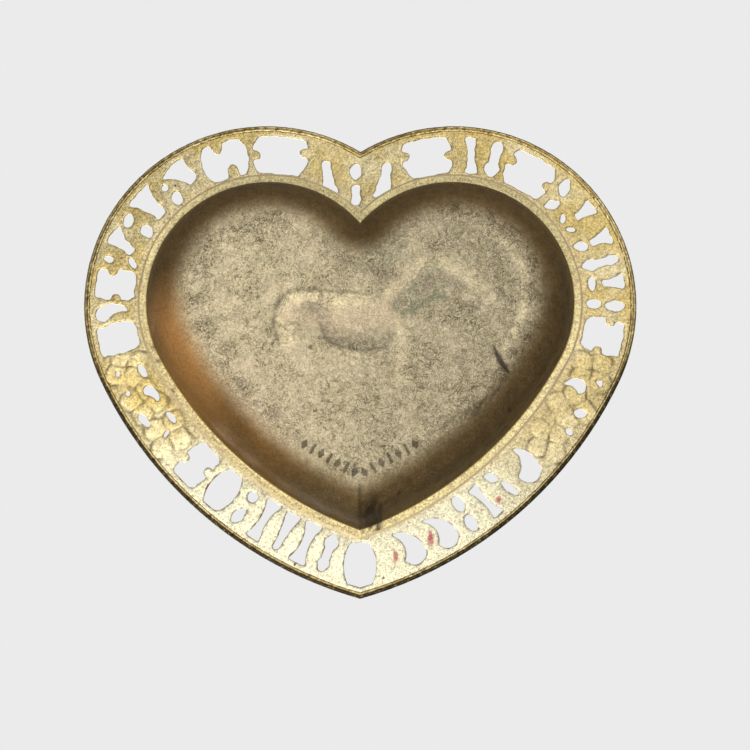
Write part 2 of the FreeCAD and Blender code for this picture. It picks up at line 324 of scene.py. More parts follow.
def castGrainGroup():
    # grains of a sand-cast face: bright facets, dark pits and a height for bump
    group, t, given, made = newGroup(
        "castGrain",
        {"Where": ("NodeSocketVector", None), "Grain Size": ("NodeSocketFloat", 0.4)},
        {name: ("NodeSocketFloat", None) for name in ("Bright", "Dark", "Height")})
    scale = t.math("DIVIDE", 1 / mm, given["Grain Size"])
    coarse = t.noise(given["Where"], scale, 5, 0.62)
    fine = t.noise(given["Where"], t.product(scale, 2.7), 2, 0.7)
    height = t.math("ADD", t.product(coarse, 0.6), t.product(fine, 0.4))
    t.put(t.ramp(height, 0.53, 0.66), made["Bright"])
    t.put(t.ramp(height, 0.46, 0.34), made["Dark"])
    t.put(height, made["Height"])
    return group


def fineFibreGroup():
    # thin wandering lines left by cleaning and handling
    group, t, given, made = newGroup(
        "fineFibres",
        {"Where": ("NodeSocketVector", None), "Length": ("NodeSocketFloat", 3.0)},
        {"Lines": ("NodeSocketFloat", None)})
    scale = t.math("DIVIDE", 1 / mm, given["Length"])
    long = t.noise(given["Where"], scale, 3, 0.62, 1.4)
    short = t.noise(given["Where"], t.product(scale, 1.9), 3, 0.7, 0.8)
    fromMiddle = [t.math("ABSOLUTE", t.math("SUBTRACT", field, 0.5)) for field in (long, short)]
    lines = [t.ramp(gap, 0.022, 0.005) for gap in fromMiddle]
    t.put(t.math("MAXIMUM", *lines), made["Lines"])
    return group


def mottleGroup():
    # large soft patches of older and newer tarnish
    group, t, given, made = newGroup(
        "mottle",
        {"Where": ("NodeSocketVector", None), "Patch Size": ("NodeSocketFloat", 12.0)},
        {"Patches": ("NodeSocketFloat", None)})
    scale = t.math("DIVIDE", 1 / mm, given["Patch Size"])
    t.put(t.ramp(t.noise(given["Where"], scale, 5, 0.55), 0.38, 0.66), made["Patches"])
    return group


castGrain, fineFibres, mottle = castGrainGroup(), fineFibreGroup(), mottleGroup()


def newMaterial(name):
    material = bpy.data.materials.new(name)
    material.use_nodes = True
    t = Tree(material.node_tree)
    shader = material.node_tree.nodes["Principled BSDF"]
    where = t.add("ShaderNodeTexCoord").outputs["Object"]
    return material, t, shader, where


def placeGroup(t, group, where, **values):
    # a value's name is the socket's name with its spaces as underscores
    node = t.add("ShaderNodeGroup", node_tree=group)
    t.put(where, node.inputs["Where"])
    for label, value in values.items():
        node.inputs[label.replace("_", " ")].default_value = value
    return node.outputs


def addBump(t, shader, height, depth):
    bump = t.add("ShaderNodeBump", {"Height": height, "Distance": depth * mm, "Strength": 1.0})
    t.put(bump.outputs["Normal"], shader.inputs["Normal"])


# ---- pan: one drawn sheet with the animal pressed up from behind
panSettings = {
    "flange": 1.4, "flangeBack": 11.45, "sheet": 0.45, "draft": 14.0, "footRadius": 9.0, "corner": 0.35,
    "columns": (8, 97, 72), "cornerRings": 5, "wallRings": 10, "footRings": 16, "floorRings": 44,
    "centreY": 3.0, "figureHeight": 0.5, "figureEdge": 2.6, "legHeight": 0.2, "legEdge": 1.1,
    "punchDepth": 0.16, "gashDepth": 0.3, "dents": 0.06, "sag": 0.14, "sway": 0.05,
    # finish: sizes in millimetres, and the insets between which the wall's finish fades into the floor's
    "grain": 0.45, "blotch": 2.6, "dullHair": 3.0, "shinyHair": 2.3, "patch": 8.0, "relief": 0.16,
    "wallEnds": 11.2, "wallFull": 4.6,
    # the wall colour is partly tarnish and partly painted shade
    "floor": (0.50, 0.425, 0.26, 1), "floorWorn": (0.64, 0.54, 0.35, 1), "wall": (0.14, 0.088, 0.033, 1),
    # the copper colour below is the painted warm reflection on the wall
    "warmReflection": (0.60, 0.31, 0.10, 1), "brown": (0.30, 0.125, 0.012, 1), "gilt": (0.92, 0.77, 0.45, 1),
    "green": (0.20, 0.215, 0.13, 1), "bright": (0.95, 0.87, 0.66, 1), "dark": (0.07, 0.052, 0.025, 1),
    # the last colour darkens dirt and painted shade
    "pink": (0.62, 0.46, 0.32, 1), "dirtAndShade": (0.035, 0.025, 0.015, 1),
}
# body, neck and head, then legs and ears, as tapering rounded bars: x, y and radius at each end, and
# each bar's share of the height
figureBars = [
    (11.8, 6.3, 5.7, 12.8, 3.8, 4.8, 1.0), (4.6, 5.5, 5.2, -3.4, 5.7, 5.5, 0.9),
    (-5.6, 8.4, 4.4, -12.2, 14.2, 4.8, 0.8), (-12.2, 14.2, 4.8, -18.2, 13.4, 3.5, 0.7),
    (-18.2, 13.4, 3.2, -22.4, 9.4, 2.0, 0.5)]
figureLegs = [
    (14.0, 3.4, 2.6, 12.8, -4.4, 1.5, 1.0), (12.8, -4.4, 1.5, 13.6, -10.4, 1.3, 0.7),
    (10.2, 3.0, 2.0, 9.2, -4.6, 1.3, 0.6), (9.2, -4.6, 1.3, 9.8, -10.0, 1.1, 0.5),
    (-7.6, 3.6, 2.0, -7.6, -4.2, 1.4, 1.0), (-7.6, -4.2, 1.4, -7.8, -10.6, 1.2, 0.7),
    (-4.2, 3.2, 1.8, -4.8, -4.4, 1.3, 0.6), (-4.8, -4.4, 1.3, -4.6, -9.8, 1.1, 0.5),
    (-14.6, 17.6, 1.2, -13.8, 21.4, 0.8, 0.7), (-16.6, 17.2, 1.2, -17.0, 21.0, 0.8, 0.7)]
# strokes of painted highlight and painted shade on the animal: strength, radius, then the points each one
# passes
paintedHighlightStrokes = [
    (0.7, 1.4, [(15.0, 1.6), (15.6, 5.8), (14.4, 9.4), (11.8, 11.2), (6.0, 10.9), (0.0, 10.6)]),
    (0.2, 3.0, [(4.2, 7.2), (-3.4, 7.0)]),
    (0.7, 1.4, [(-8.8, 6.2), (-8.0, 1.0), (-8.2, -6.0)]),
    (0.9, 1.5, [(-6.6, 11.8), (-11.4, 16.6), (-17.2, 18.2), (-22.2, 15.2), (-26.0, 10.4)])]
paintedShadeStrokes = [
    (0.7, 1.3, [(10.8, 9.4), (8.0, 8.4), (7.2, 4.4)]),
    (0.55, 1.6, [(7.0, 3.6), (3.6, 2.2), (-2.0, 1.8), (-6.0, 2.4)]),
    (0.8, 1.5, [(-7.8, 10.2), (-12.0, 13.2), (-16.8, 15.0), (-20.6, 13.2)]),
    (0.6, 1.2, [(2.5, 18.4), (-3.0, 16.2), (-8.6, 14.8)])]
thinStrokes = [
    (0.75, 0.4, [(16.4, 1.0), (17.5, 4.2), (17.5, 7.2), (16.6, 10.0), (15.1, 11.5)]),
    (0.7, 0.35, [(15.1, 11.5), (13.4, 12.2), (9.4, 12.4), (4.8, 11.9), (0.4, 11.8)]),
    (0.55, 0.3, [(8.1, 5.2), (7.2, 2.6), (4.8, 0.8), (0.1, -0.2), (-5.8, 0.5)]),
    (0.4, 0.2, [(10.6, 9.8), (8.6, 9.4), (6.2, 7.8)]),
    (0.45, 0.25, [(-22.4, 12.4), (-24.8, 10.2), (-24.0, 8.4), (-20.6, 9.6)])]
# a gash near the floor's edge, deepest in the middle, and the scratch that runs on from it
gash = [(-27.2, 0.8), (-28.6, -2.3), (-30.3, -4.6)]
gashScratch = (0.55, 0.3, [(-30.3, -4.6), (-27.5, -8.9), (-22.2, -12.6), (-15.0, -16.8)])
# pits and specks of dirt: x, y, radius
specks = [(-3.5, -9.8, 0.5), (10.1, 0.5, 0.4), (-30.5, -12.0, 0.45), (21.0, -3.5, 0.3), (-16.5, -14.0, 0.35),
          (6.0, -14.5, 0.3), (26.5, 12.0, 0.35), (-27.0, 21.0, 0.4), (17.5, 26.5, 0.3), (43.0, 2.0, 0.5),
          (42.2, -0.6, 0.4), (39.0, -7.0, 0.35), (30.0, -17.5, 0.35), (-8.0, -29.0, 0.4), (12.0, -29.5, 0.35)]


def barGap(x, y, bar):
    # signed distance to a tapering rounded bar, negative inside
    ax, ay, ar, bx, by, br = bar[:6]
    t = np.clip(((x - ax) * (bx - ax) + (y - ay) * (by - ay)) / ((bx - ax) ** 2 + (by - ay) ** 2), 0, 1)
    return np.hypot(x - ax - t * (bx - ax), y - ay - t * (by - ay)) - (ar + t * (br - ar))


def pathGap(x, y, points):
    # distance to a run of straight lines through the points
    return np.minimum.reduce([barGap(x, y, (*a, 0.0, *b, 0.0)) for a, b in zip(points, points[1:])])


def strokeMarks(x, y, strokes, feather):
    # the strongest of the strokes at each point, with edges softened by a share of the radius
    marks = np.zeros_like(x)
    for strength, radius, points in strokes:
        gap = pathGap(x, y, points) + 0.25 * radius * waves(x, y, 2.6, 33)
        marks = np.maximum(marks, strength * smoothStep(radius * (1 + feather), radius * (1 - feather), gap))
    return marks


def gashShape(x, y):
    # 1 inside the gash and 0 outside it, widest at its middle point
    endWidth, swell = 0.16, 0.42
    width = endWidth + swell * smoothStep(3.6, 0.6, np.hypot(x - gash[1][0], y - gash[1][1]))
    return smoothStep(width + 0.12, width - 0.2, pathGap(x, y, gash))


def figureLift(x, y, s):
    # how far the animal stands up from the floor, its bars blended where they meet
    lift = np.zeros_like(x)
    for bars, height, edge in ((figureBars, s["figureHeight"], s["figureEdge"]),
                               (figureLegs, s["legHeight"], s["legEdge"])):
        for bar in bars:
            part = height * bar[6] * smoothStep(0.35, -edge, barGap(x, y, bar))
            lift = lift + part - lift * part / height
    return lift


def panSection(s):
    # inset and height of each ring from the flange's edge to the foot of the wall
    draft = math.radians(s["draft"])
    foot = s["footRadius"]
    rise = s["flangeBack"] - foot * (1 - math.sin(draft))
    floorInset = foot * math.cos(draft) + rise * math.tan(draft)
    rings = [(-s["flange"] * f, s["flangeBack"]) for f in (1.0, 0.75, 0.5)]
    cornerWidth = s["corner"] * 0.85
    for a in np.radians(np.linspace(0, 90 - s["draft"], s["cornerRings"])):
        rings.append((-cornerWidth * (1 - math.sin(a)), s["flangeBack"] - s["corner"] * (1 - math.cos(a))))
    startInset, startZ = rings[-1]
    endInset, endZ = floorInset - foot * math.cos(draft), foot * (1 - math.sin(draft))
    for f in np.linspace(0, 1, s["wallRings"] + 1)[1:]:
        rings.append((startInset + (endInset - startInset) * f, startZ + (endZ - startZ) * f))
    for a in np.linspace(draft, math.pi / 2, s["footRings"] + 1)[1:]:
        rings.append((floorInset - foot * math.cos(a), foot * (1 - math.sin(a))))
    return rings


def panRows(s):
    # points of each ring from the flange inwards, then ever smaller copies of the last down to the centre
    rows = []
    for inset, z in panSection(s):
        ring = heartRing(panHeart, inset, s["columns"])
        rows.append(np.column_stack([ring, np.full(len(ring), z)]))
    foot = rows[-1]
    centre = np.array([0, s["centreY"], 0])
    for f in np.linspace(1, 0, s["floorRings"])[1:]:
        rows.append(centre + (foot - centre) * [f, f, 1])
    return np.array(rows)


def deselectAll():
    bpy.ops.mesh.select_all(action="DESELECT")


def subdivideWhere(piece, test, cuts):
    # finer faces on the part of the floor that the test picks
    floorTop = 1.5
    points = getPoints(piece.data)
    inside = test(points[:, 0], points[:, 1]) & (points[:, 2] < floorTop)
    piece.data.vertices.foreach_set("select", inside)
    selectOnly(piece)
    bpy.ops.object.mode_set(mode="EDIT")
    bpy.ops.mesh.select_mode(type="VERT")
    bpy.ops.mesh.subdivide(number_cuts=cuts)
    deselectAll()
    bpy.ops.object.mode_set(mode="OBJECT")


def workPan(points, s):
    # the animal, dents, sag, sway, punch marks and gash worked into the sheet's underside
    x, y, z = points.T
    onFloor = smoothStep(4.0, 1.0, z)
    onFoot = smoothStep(11.0, 4.0, z) * smoothStep(0.2, 2.0, z)
    punches = np.maximum.reduce([smoothStep(0.12, -0.12, gap) for gap in punchGaps(x, y)])
    points[:, 2] += onFloor * figureLift(x, y, s)
    points[:, 2] += onFloor * s["dents"] * (waves(x, y, 9.0, 3) + 0.3 * waves(x, y, 2.6, 4))
    points[:, 2] += s["sag"] * onFoot * waves(x, y, 16.0, 6)
    points[:, 0] += s["sway"] * (1 - onFloor) * waves(y, z * 2, 7.0, 5)
    points[:, 2] += s["punchDepth"] * onFloor * punches
    points[:, 2] += s["gashDepth"] * gashShape(x, y) * smoothStep(6.0, 3.0, z)
    points[:, 2] = np.maximum(points[:, 2], 0)
    return points


def makePan(s):
    rows = panRows(s)
    down, across = rows.shape[:2]
    bpy.ops.mesh.primitive_grid_add(x_subdivisions=across - 1, y_subdivisions=down - 1, size=1)
    piece = bpy.context.object
    piece.name = "drawnPan"
    mesh = piece.data
    onGrid = getPoints(mesh) * mm + 0.5
    column = np.rint(onGrid[:, 0] * (across - 1)).astype(int)
    row = np.rint(onGrid[:, 1] * (down - 1)).astype(int)
    setPoints(mesh, rows[row, column])
    inEditMode(piece, mergeClose(0.004), normalsOut, deselectAll)
    if sum(polygon.normal.z for polygon in mesh.polygons) > 0:
        inEditMode(piece, bpy.ops.mesh.flip_normals, deselectAll)
    for test, cuts in ((figureZone, 1), (punchZone, 3), (gashZone, 2)):
        subdivideWhere(piece, test, cuts)
    setPoints(mesh, workPan(getPoints(mesh), s))
    applyModifier(piece, "SOLIDIFY", thickness=s["sheet"] * mm, offset=-1)
    selectOnly(piece)
    bpy.ops.object.shade_smooth_by_angle(angle=math.radians(40))
    return piece


# punched row: bars and lozenges by turns down two legs that meet near the tip
punchSettings = {
    "far": (11.2, -19.4), "near": (1.0, -25.0), "inEachLeg": 7, "turn": 28.0,
    "bar": (0.22, 1.05), "lozenge": (0.6, 1.0),
}


def punchGaps(x, y):
    # distance to each mark, negative inside
    s = punchSettings
    barX, barY = s["bar"]
    lozengeX, lozengeY = s["lozenge"]
    gaps = []
    for leg in (-1, 1):
        for i in range(s["inEachLeg"]):
            t = i / (s["inEachLeg"] - 1)
            cx = leg * (s["far"][0] + (s["near"][0] - s["far"][0]) * t)
            cy = s["far"][1] + (s["near"][1] - s["far"][1]) * t
            a = math.radians(leg * s["turn"])
            u = (x - cx) * math.cos(a) + (y - cy) * math.sin(a)
            v = (y - cy) * math.cos(a) - (x - cx) * math.sin(a)
            if i % 2:
                gaps.append(np.maximum(np.abs(u) - barX, np.abs(v) - barY))
            else:
                gaps.append((np.abs(u) / lozengeX + np.abs(v) / lozengeY - 1) * lozengeY / 2)
    return gaps


# where the floor's faces are made finer, with this much room round each shape
zoneMargin = {"figure": 0.9, "punch": 0.9, "gash": 0.8}


def figureZone(x, y):
    return np.minimum.reduce([barGap(x, y, bar) for bar in figureBars]) < zoneMargin["figure"]


def punchZone(x, y):
    return np.minimum.reduce(punchGaps(x, y)) < zoneMargin["punch"]


def gashZone(x, y):
    return pathGap(x, y, gash) < zoneMargin["gash"]


# green tarnish: x, y, z, radius
greenSpots = [(-13.7, 13.0, 0.4, 4.8), (-5.0, 22.0, 0, 4.6), (-9.5, 9.0, 0.3, 2.8), (-2.0, 26.5, 0, 3.0),
              (3.5, 24.0, 0, 2.4)]


def floorColor(t, s, where, at, inward, patch, blotch):
    # worn patches, painted light making it paler towards +x, warmer on the low +x side, with painted
    # highlight and painted shade on the animal
    color = t.mix(patch["Patches"], s["floor"], s["floorWorn"])
    # painted light: the floor brighter towards +x
    color = t.times(color, t.ramp(at["X"], -26 * mm, 26 * mm, 0.72, 1.12))
    color = t.times(color, t.ramp(blotch["Height"], 0.34, 0.66, 0.8, 1.16))
    warm = t.product(t.ramp(at["X"], 2 * mm, 26 * mm), t.ramp(at["Y"], 6 * mm, -12 * mm))
    color = t.mix(t.product(warm, 0.4), color, s["pink"])
    color = t.mix(t.ramp(t.mask("figure"), 0.5, 1.0, 0.0, 0.42), color, s["pink"])
    # painted highlight and painted shade on the animal
    color = t.times(color, t.ramp(t.mask("paintedLightShade"), 0.0, 1.0, 0.6, 1.32))
    # a bright band inside the lobe on the -x side
    band = t.product(t.ramp(inward, 9.6, 10.6), t.ramp(inward, 12.4, 11.0))
    inLobe = t.product(t.ramp(at["X"], -20 * mm, -28 * mm), t.ramp(at["Y"], -8 * mm, 6 * mm))
    color = t.times(color, t.ramp(t.product(band, inLobe), 0, 1, 1.0, 1.5))
    for x, y, z, radius in greenSpots:
        spot = t.product(t.near(where, (x, y, z), radius), t.ramp(blotch["Height"], 0.42, 0.58))
        color = t.mix(t.product(spot, 0.8), color, s["green"])
    return color


def wallColor(t, s, at, inward, blotch):
    # painted shade darkest under the flange, brown on the low +x side, with a painted warm reflection higher
    # up that side; the wall's dark brown is partly tarnish and partly painted shade
    color = t.times(s["wall"], t.ramp(blotch["Height"], 0.35, 0.65, 0.82, 1.2))
    # painted shade under the flange
    color = t.times(color, t.ramp(inward, 0.3, 3.2, 0.72, 1.0))
    color = t.times(color, t.ramp(at["Y"], 8 * mm, 30 * mm, 1.0, 1.35))
    low = t.product(t.ramp(at["X"], 8 * mm, 20 * mm), t.ramp(at["Y"], 4 * mm, -8 * mm))
    color = t.mix(t.product(low, 0.34), color, s["brown"])
    # painted warm reflection on the +x side of the wall
    paintedReflection = t.product(t.ramp(at["X"], 24 * mm, 38 * mm), t.ramp(at["Y"], 20 * mm, 4 * mm))
    return t.mix(t.product(paintedReflection, t.ramp(inward, 0.4, 3.4, 0.32, 0.9)), color, s["warmReflection"])


def addSpeckle(t, s, color, onWall, grain, shiny, dull, patch):
    # grain and hair lines: strong on the floor, faint on the wall
    def share(onFloor, wall):
        return t.ramp(onWall, 0, 1, onFloor, wall)

    speckle = t.ramp(grain["Height"], 0.34, 0.66, 0.78, 1.2)
    color = t.times(color, t.mix(share(0, 0.75), speckle, (1, 1, 1, 1)))
    color = t.mix(t.product(shiny["Lines"], share(0.42, 0.06)), color, s["bright"])
    color = t.mix(t.product(grain["Bright"], share(0.34, 0.05)), color, s["bright"])
    color = t.mix(t.product(grain["Dark"], share(0.26, 0.4)), color, s["dark"])
    clumped = t.product(t.ramp(patch["Patches"], 0, 1, 0.78, 0.42), t.ramp(t.mask("figure"), 0, 1, 1.0, 0.45))
    return t.mix(t.product(dull["Lines"], t.product(clumped, share(1.0, 0.3))), color, s["dark"])


def footDirt(t, where, at, inward, grain):
    # dirt gathered where the floor meets the wall, in streaks, thickest at both sides
    shifted = t.math("SUBTRACT", inward, t.ramp(at["X"], -20 * mm, 20 * mm, 0.0, 2.8))
    ring = t.product(t.ramp(shifted, 5.6, 7.6), t.ramp(shifted, 12.4, 8.2))
    sides = t.ramp(t.math("ABSOLUTE", at["X"]), 6 * mm, 26 * mm, 0.3, 1.0)
    clumps = t.ramp(t.noise(where, 1 / (3.2 * mm), 6, 0.7, 0.6), 0.44, 0.58)
    streaks = t.product(clumps, t.ramp(grain["Height"], 0.60, 0.44))
    return t.product(streaks, t.product(ring, sides))


def panMaterial(s):
    material, t, shader, where = newMaterial("tarnishedPan")
    grain = placeGroup(t, castGrain, where, Grain_Size=s["grain"])
    blotch = placeGroup(t, castGrain, where, Grain_Size=s["blotch"])
    dull = placeGroup(t, fineFibres, where, Length=s["dullHair"])
    shiny = placeGroup(t, fineFibres, where, Length=s["shinyHair"])
    patch = placeGroup(t, mottle, where, Patch_Size=s["patch"])
    at = t.add("ShaderNodeSeparateXYZ", {"Vector": where}).outputs
    inward = t.mask("inward")
    onWall = t.ramp(inward, s["wallEnds"], s["wallFull"])
    color = floorColor(t, s, where, at, inward, patch, blotch)
    color = t.mix(onWall, color, wallColor(t, s, at, inward, blotch))
    color = addSpeckle(t, s, color, onWall, grain, shiny, dull, patch)
    color = t.mix(t.product(footDirt(t, where, at, inward, grain), 0.8), color, s["dark"])
    flange = t.times(s["gilt"], t.ramp(grain["Height"], 0.36, 0.64, 0.5, 1.45))
    color = t.mix(t.ramp(inward, 0.15, -0.15), color, flange)
    color = t.mix(t.product(t.mask("front"), 0.3), color, s["gilt"])
    # dirt and painted shade
    color = t.mix(t.product(t.mask("dirtAndShade"), 0.88), color, s["dirtAndShade"])
    t.put(color, shader.inputs["Base Color"])
    t.put(t.ramp(onWall, 0, 1, 0.72, 0.96), shader.inputs["Metallic"])
    rough = t.ramp(grain["Height"], 0.3, 0.7, 0.42, 0.62)
    t.put(t.product(rough, t.ramp(onWall, 0, 1, 1.0, 1.25)), shader.inputs["Roughness"])
    addBump(t, shader, grain["Height"], s["relief"])
    return material


# dirt at the tip: how far the ridge reaches each side of the corner, and the heap's place and size
tipDirt = {"ridge": 0.55, "heapAt": (-2.6, -33.4), "heapRadius": 3.1, "heapRagged": 0.9}


def panDirtAndShade(x, y, z):
    # darkening in the punched row and the gash, painted shade along the lines round the animal, and dirt in
    # the pits and the corner at the tip
    breaks = np.clip(0.85 + 0.3 * waves(x, y, 3.4, 31), 0, 1)
    marks = 0.75 * np.maximum.reduce([smoothStep(0.25, -0.05, gap) for gap in punchGaps(x, y)])
    marks = np.maximum(marks, gashShape(x, y))
    # painted shade along the animal's outlines, and the dark scratch
    marks = np.maximum(marks, breaks * strokeMarks(x, y, thinStrokes + [gashScratch], 0.9))
    marks *= smoothStep(5.0, 3.0, z)
    for speckX, speckY, radius in specks:
        gap = np.hypot(x - speckX, y - speckY)
        marks = np.maximum(marks, 0.8 * smoothStep(radius * 1.5, radius * 0.4, gap))
    ridge = smoothStep(tipDirt["ridge"], 0.1, np.abs(x + 0.15))
    ridge *= smoothStep(-25.5, -28.5, y) * smoothStep(11.0, 9.5, z)
    heapX, heapY = tipDirt["heapAt"]
    heapGap = np.hypot(x - heapX, (y - heapY) * 0.8) + tipDirt["heapRagged"] * waves(x, y, 1.7, 32)
    heap = smoothStep(tipDirt["heapRadius"], 1.2, heapGap)
    return np.clip(np.maximum.reduce([marks, 0.75 * ridge, heap]), 0, 1)


pan = makePan(panSettings)
px, py, pz = getPoints(pan.data).T
setMask(pan.data, "inward", alongAndInset(panHeart, px, py)[1])
# the thickness step adds the front's points after all of the back's
front = np.arange(len(px)) >= len(px) // 2
setMask(pan.data, "front", front)
setMask(pan.data, "dirtAndShade", panDirtAndShade(px, py, pz) * ~front)
# painted light and shade on the animal: half is neutral, 1 the strongest painted highlight and 0 the deepest
# painted shade
paintedLightShade = strokeMarks(px, py, paintedHighlightStrokes, 0.8) - strokeMarks(px, py, paintedShadeStrokes, 0.8)
setMask(pan.data, "paintedLightShade", 0.5 + 0.5 * paintedLightShade * smoothStep(5.0, 3.0, pz))
setMask(pan.data, "figure", np.clip(figureLift(px, py, panSettings) / panSettings["figureHeight"], 0, 1))
settle(pan, "pan", panMaterial(panSettings))
print("pan made:", len(pan.data.polygons), "faces")


# ---- rim: the pierced casting, its corners softened, leaves worked on both faces
rimSettings = {
    "voxel": 0.28, "softening": 4, "wander": 0.09, "buckle": 0.03, "pitting": 0.012,
    "leafRise": 0.14, "leafRiseFront": 0.32, "crease": 0.2,
    # finish
    "grain": 0.5, "blotch": 2.6, "patch": 11.0, "pitSpacing": 2.0, "relief": 0.16,
    # the pale colour is painted light on the lower run
    "gold": (0.77, 0.59, 0.22, 1), "goldWorn": (0.91, 0.78, 0.46, 1), "lowRunLight": (0.96, 0.91, 0.66, 1),
    "dull": (0.66, 0.54, 0.30, 1), "pink": (0.90, 0.75, 0.47, 1), "bright": (1.0, 0.96, 0.74, 1),
    # the pit colour darkens the pits and gives the painted shade in the creases
    "dark": (0.20, 0.135, 0.045, 1), "paint": (0.42, 0.008, 0.05, 1), "pitAndCreaseShade": (0.06, 0.042, 0.018, 1),
}
# round leaves in fours: side, distance from the cleft, inset, leaf size, first leaf's turn
flowers = [(-1, 98.8, 6.2, 5.4, 30), (-1, 108.4, 6.2, 5.6, 75), (-1, 117.6, 6.0, 5.2, 20),
           (1, 97.8, 6.2, 5.2, 10), (1, 106.6, 6.0, 5.2, 55), (1, 115.8, 6.2, 5.6, 30)]


def leafShape(x, y):
    # 1 at each leaf's crown falling to 0 at its edge, and the thin creases between and round the leaves
    along, inset = alongAndInset(rimHeart, x, y)
    first, second, rim = np.zeros_like(x), np.zeros_like(x), np.zeros_like(x)
    for side, middleAlong, middleInset, size, turn in flowers:
        u, v = along - middleAlong, inset - middleInset
        here = (np.sign(x) == side) & (np.hypot(u, v) < size * 1.6)
        for k in range(4):
            a = math.radians(turn + 90 * k)
            p = u * math.cos(a) + v * math.sin(a) - size * 0.52
            q = v * math.cos(a) - u * math.sin(a)
            r = np.hypot(p / (size * 0.5), q / (size * (0.46 - 0.12 * p / size)))
            r += 0.05 * waves(x, y, 3.1, 18)
            crown = np.where(here, np.clip(1 - r * r, 0, 1), 0)
            second = np.maximum(second, np.minimum(first, crown))
            first = np.maximum(first, crown)
            rim = np.where(here, np.maximum(rim, np.exp(-((r - 1.04) * size * 0.5 / 0.26) ** 2)), rim)
    crease = np.exp(-((first - second) / 0.17) ** 2) * smoothStep(0.0, 0.06, first)
    rim *= 1 - smoothStep(0.06, 0.2, first)
    breaks = np.clip(0.55 + 0.55 * waves(x, y, 3.8, 19), 0.1, 1)
    return first, np.maximum(crease, 0.7 * rim) * breaks


# paint that ran through the piercings to the back: x, y, half-width, half-height
paintRuns = [(-7.3, -41.4, 0.5, 1.3), (-14.6, -37.6, 0.6, 1.6), (-28.6, -29.6, 0.7, 0.6),
             (-31.0, -27.2, 0.4, 0.9)]


def redTraces(x, y):
    traces = np.zeros_like(x)
    ragged = 0.2 * waves(x, y, 1.3, 17)
    for runX, runY, wide, high in paintRuns:
        gap = np.hypot((x - runX) / wide, (y - runY) / high) + ragged
        traces = np.maximum(traces, smoothStep(1.4, 0.6, gap))
    return traces


def softenedCopy(node, name, s):
    # the CAD solid's skin in even small faces, its sharp edges worn round
    piece = copyOfNode(node, name)
    applyModifier(piece, "REMESH", mode="VOXEL", voxel_size=s["voxel"] * mm, adaptivity=0)
    applyModifier(piece, "SMOOTH", factor=0.5, iterations=s["softening"])
    return piece


def makeRim(s):
    piece = softenedCopy("pierced_rim", "piercedRim", s)
    mesh = piece.data
    points = getPoints(mesh)
    x, y = points[:, 0], points[:, 1]
    normals = np.empty(len(mesh.vertices) * 3)
    mesh.vertices.foreach_get("normal", normals)
    normals = normals.reshape(-1, 3)
    crown, edge = leafShape(x, y)
    under = smoothStep(0.4, 0.9, -normals[:, 2])
    over = smoothStep(0.4, 0.9, normals[:, 2])
    points[:, 2] -= under * (s["leafRise"] * np.sqrt(crown) - s["crease"] * edge)
    points[:, 2] += over * (s["leafRiseFront"] * np.sqrt(crown) - s["crease"] * edge)
    points[:, 2] += s["buckle"] * waves(x, y, 5.0, 11) + s["pitting"] * waves(x, y, 1.6, 12)
    points[:, 0] += s["wander"] * waves(x, y, 2.4, 13)
    points[:, 1] += s["wander"] * waves(x, y, 2.4, 14)
    setPoints(mesh, points)
    setMask(mesh, "crease", edge)
    setMask(mesh, "leaf", crown)
    setMask(mesh, "beyondPan", -alongAndInset(panHeart, x, y)[1])
    setMask(mesh, "redTrace", redTraces(x, y) * smoothStep(0.0, 0.3, -normals[:, 2]))
    selectOnly(piece)
    bpy.ops.object.shade_smooth()
    return piece


def rimMaterial(s):
    material, t, shader, where = newMaterial("giltRim")
    grain = placeGroup(t, castGrain, where, Grain_Size=s["grain"])
    blotch = placeGroup(t, castGrain, where, Grain_Size=s["blotch"])
    patch = placeGroup(t, mottle, where, Patch_Size=s["patch"])
    leaf = t.mask("leaf")
    at = t.add("ShaderNodeSeparateXYZ", {"Vector": where}).outputs
    color = t.mix(patch["Patches"], s["gold"], s["goldWorn"])
    # painted light: the lower run paler
    color = t.mix(t.ramp(at["Y"], -8 * mm, -30 * mm), color, s["lowRunLight"])
    dull = t.product(t.ramp(at["X"], -20 * mm, -42 * mm), t.ramp(at["Y"], 12 * mm, -6 * mm))
    color = t.mix(t.product(dull, 0.55), color, s["dull"])
    color = t.mix(t.ramp(t.mask("beyondPan"), 3.6, 1.4, 0.0, 0.55), color, s["pink"])
    color = t.times(color, t.ramp(grain["Height"], 0.34, 0.66, 0.56, 1.32))
    color = t.times(color, t.ramp(blotch["Height"], 0.36, 0.64, 0.86, 1.1))
    # painted highlight on the leaf crowns and painted shade at their edges
    color = t.times(color, t.ramp(leaf, 0.05, 0.6, 0.9, 1.08))
    color = t.mix(t.product(grain["Bright"], t.ramp(leaf, 0, 0.4, 0.55, 0.3)), color, s["bright"])
    color = t.mix(t.product(grain["Dark"], t.ramp(leaf, 0, 0.4, 0.5, 0.25)), color, s["dark"])
    pits = t.ramp(t.noise(where, 1 / (s["pitSpacing"] * mm), 2, 0.5), 0.27, 0.22)
    # dark pits, with painted shade in the creases between and round the leaves
    color = t.mix(t.product(t.math("MAXIMUM", t.mask("crease"), pits), 0.9), color, s["pitAndCreaseShade"])
    paint = t.product(t.mask("redTrace"), t.ramp(grain["Height"], 0.4, 0.5))
    color = t.mix(t.product(paint, 0.9), color, s["paint"])
    t.put(color, shader.inputs["Base Color"])
    t.put(t.ramp(paint, 0, 1, 0.78, 0.1), shader.inputs["Metallic"])
    t.put(t.ramp(grain["Height"], 0.3, 0.7, 0.36, 0.56), shader.inputs["Roughness"])
    addBump(t, shader, grain["Height"], s["relief"])
    return material


rim = makeRim(rimSettings)
settle(rim, "pierced_rim", rimMaterial(rimSettings))
print("rim made:", len(rim.data.polygons), "faces")


